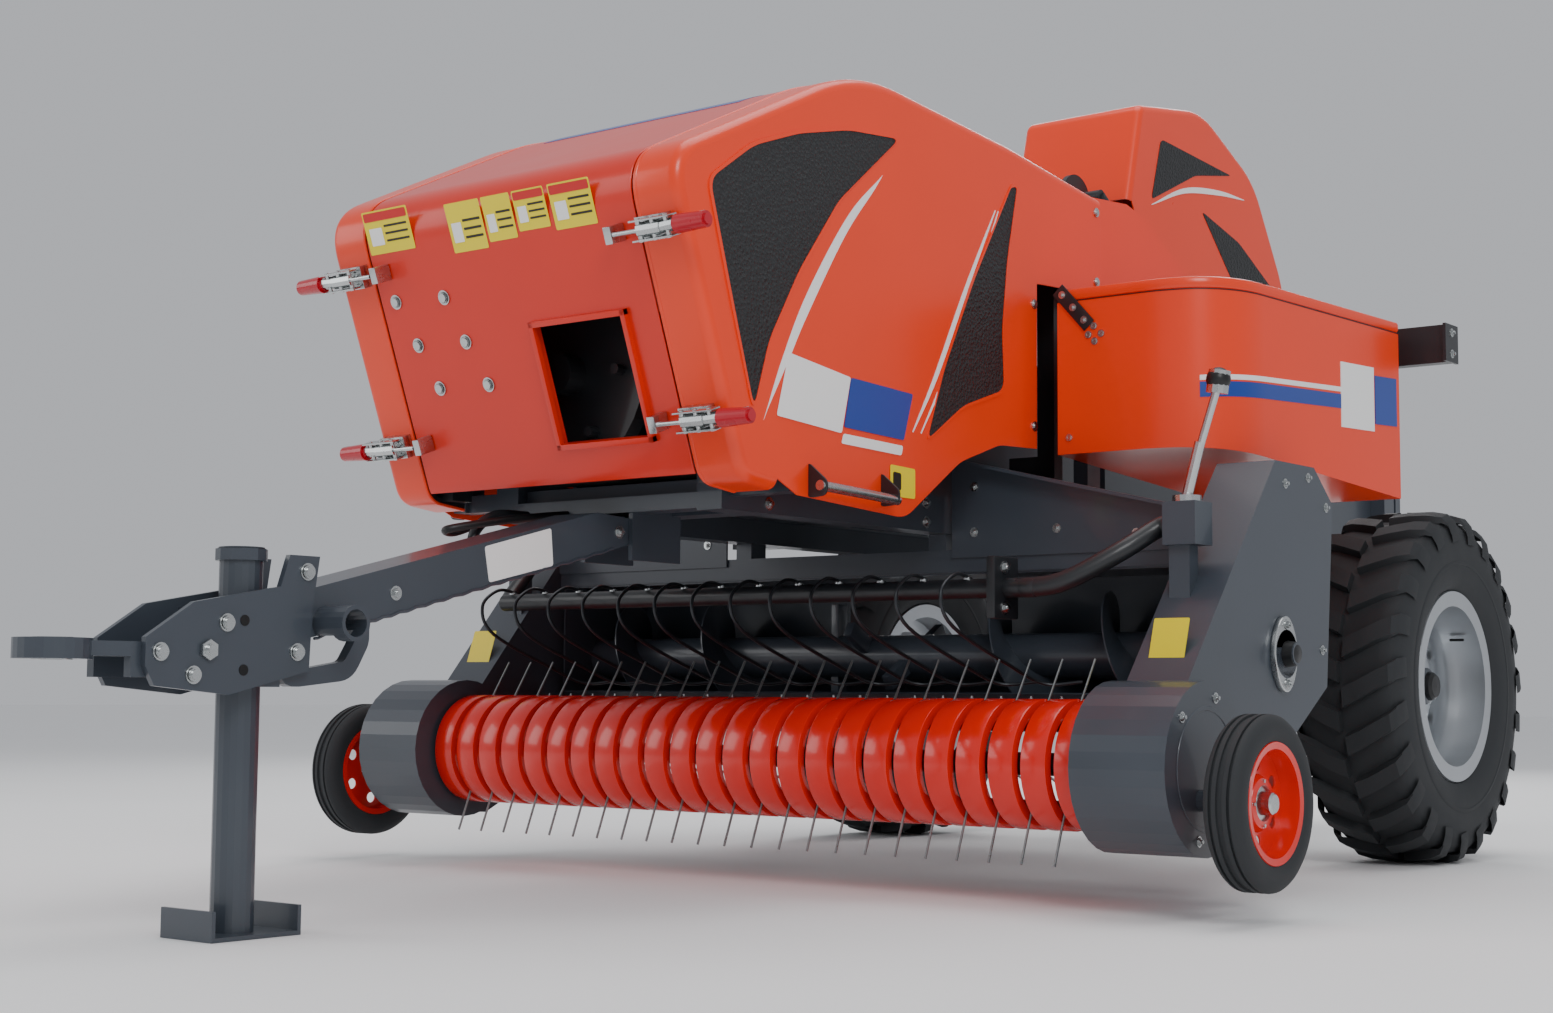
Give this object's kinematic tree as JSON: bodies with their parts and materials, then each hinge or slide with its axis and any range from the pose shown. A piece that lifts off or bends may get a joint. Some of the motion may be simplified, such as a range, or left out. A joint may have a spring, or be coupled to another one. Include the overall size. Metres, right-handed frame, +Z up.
{
  "type": "square baler",
  "caption": "Towed in-line square baler parked on two wheels and a stand, with a drawbar, opening hood, tined pickup with wire windguard, bale chamber, knotter hood and twine boxes.",
  "frame": {"origin": "on the ground under the middle of the whole machine", "axes": "+X to the machine's left, -Y towards the hitch in front, +Y towards the bale chamber's tail, +Z up"},
  "size_m": [2.745, 5.25, 2.2517],
  "materials": {
    "orange": "gloss",
    "red_orange": "gloss",
    "anthracite": "semi-gloss",
    "black": "satin",
    "zinc": "zinc plated",
    "silver": "silver paint",
    "tyre": "matte"
  },
  "bodies": {
    "chassis": {"main_frame": "anthracite", "axle_beam": "anthracite", "bale_chamber": "anthracite", "tension_hoop": "anthracite", "drawbar": "anthracite", "hitch_head": "anthracite", "hitch_eye": "anthracite", "hood_frame": "black", "middle_panel_left": "orange", "middle_panel_right": "orange", "gearbox": "black", "knotter_stack": "black", "twine_box_left": "orange", "twine_box_right": "orange", "rear_light_bar": "black", "auger_housing": "anthracite"},
    "wheel_left": {"tyre_left": "tyre", "rim_left": "silver"},
    "wheel_right": {"tyre_right": "tyre", "rim_right": "silver"},
    "pickup": {"pickup_side_left": "anthracite", "pickup_side_right": "anthracite", "stripper_bands": "red_orange", "guard_lever": "zinc"},
    "tine_reel": {"tine_reel": "black"},
    "windguard": {"windguard": "black"},
    "auger": {"auger": "anthracite"},
    "gauge_wheel_left": {"gauge_tyre_left": "tyre", "gauge_rim_left": "red_orange"},
    "gauge_wheel_right": {"gauge_tyre_right": "tyre", "gauge_rim_right": "red_orange"},
    "jack": {"jack_leg": "anthracite"},
    "hood_lid": {"hood_lid": "red_orange"},
    "hood_side_left": {"hood_side_left": "orange", "clamp_upper_left": "zinc", "clamp_lower_left": "zinc"},
    "hood_side_right": {"hood_side_right": "orange", "clamp_upper_right": "zinc", "clamp_lower_right": "zinc"},
    "knotter_hood": {"knotter_hood": "orange"},
    "twine_lid_left": {"twine_lid_left": "orange"},
    "twine_lid_right": {"twine_lid_right": "orange"},
    "flywheel": {"flywheel": "black"},
    "plunger": {"plunger": "black"}
  },
  "joints": [
    {"name": "pickup_lift", "type": "hinge", "parent": "chassis", "child": "pickup", "pos_m": [0, -0.155, 0.547], "axis": [-1, 0, 0], "range_deg": [-6.4, 7.5]},
    {"name": "windguard_height", "type": "hinge", "parent": "pickup", "child": "windguard", "pos_m": [0, -0.425, 0.825], "axis": [-1, 0, 0], "range_deg": [0, 8]},
    {"name": "jack_slide", "type": "slide", "parent": "chassis", "child": "jack", "axis": [0, 0, 1], "range_m": [0, 0.3]},
    {"name": "hood_lid_hinge", "type": "hinge", "parent": "chassis", "child": "hood_lid", "pos_m": [0, 0.1, 1.718], "axis": [-1, 0, 0], "range_deg": [0, 50]},
    {"name": "hood_side_left_hinge", "type": "hinge", "parent": "chassis", "child": "hood_side_left", "pos_m": [0.403, -0.725, 1.812], "axis": [0, -1, 0], "range_deg": [0, 60]},
    {"name": "hood_side_right_hinge", "type": "hinge", "parent": "chassis", "child": "hood_side_right", "pos_m": [-0.403, -0.725, 1.812], "axis": [0, 1, 0], "range_deg": [0, 60]},
    {"name": "knotter_hood_hinge", "type": "hinge", "parent": "chassis", "child": "knotter_hood", "pos_m": [0, 1.895, 1.48], "axis": [-1, 0, 0], "range_deg": [0, 60]},
    {"name": "twine_lid_left_hinge", "type": "hinge", "parent": "chassis", "child": "twine_lid_left", "pos_m": [0.8, 0.719, 1.4043], "axis": [-1, 0, 0], "range_deg": [0, 65]},
    {"name": "twine_lid_right_hinge", "type": "hinge", "parent": "chassis", "child": "twine_lid_right", "pos_m": [-0.8, 0.719, 1.4043], "axis": [-1, 0, 0], "range_deg": [0, 65]},
    {"name": "wheel_left_spin", "type": "hinge", "parent": "chassis", "child": "wheel_left", "pos_m": [0.883, 1.175, 0.485], "axis": [1, 0, 0], "continuous": true},
    {"name": "wheel_right_spin", "type": "hinge", "parent": "chassis", "child": "wheel_right", "pos_m": [-0.883, 1.175, 0.485], "axis": [1, 0, 0], "continuous": true},
    {"name": "gauge_wheel_left_spin", "type": "hinge", "parent": "pickup", "child": "gauge_wheel_left", "pos_m": [1.33, -0.692, 0.239], "axis": [1, 0, 0], "continuous": true},
    {"name": "gauge_wheel_right_spin", "type": "hinge", "parent": "pickup", "child": "gauge_wheel_right", "pos_m": [-1.33, -0.692, 0.239], "axis": [1, 0, 0], "continuous": true},
    {"name": "tine_reel_spin", "type": "hinge", "parent": "pickup", "child": "tine_reel", "pos_m": [0, -0.642, 0.302], "axis": [1, 0, 0], "continuous": true},
    {"name": "auger_spin", "type": "hinge", "parent": "chassis", "child": "auger", "pos_m": [0, -0.155, 0.547], "axis": [1, 0, 0], "continuous": true},
    {"name": "flywheel_spin", "type": "hinge", "parent": "chassis", "child": "flywheel", "pos_m": [0, -1.275, 1.14], "axis": [0, 1, 0], "continuous": true},
    {"name": "plunger_stroke", "type": "slide", "parent": "chassis", "child": "plunger", "axis": [0, 1, 0], "range_m": [0, 0.55]}
  ]
}
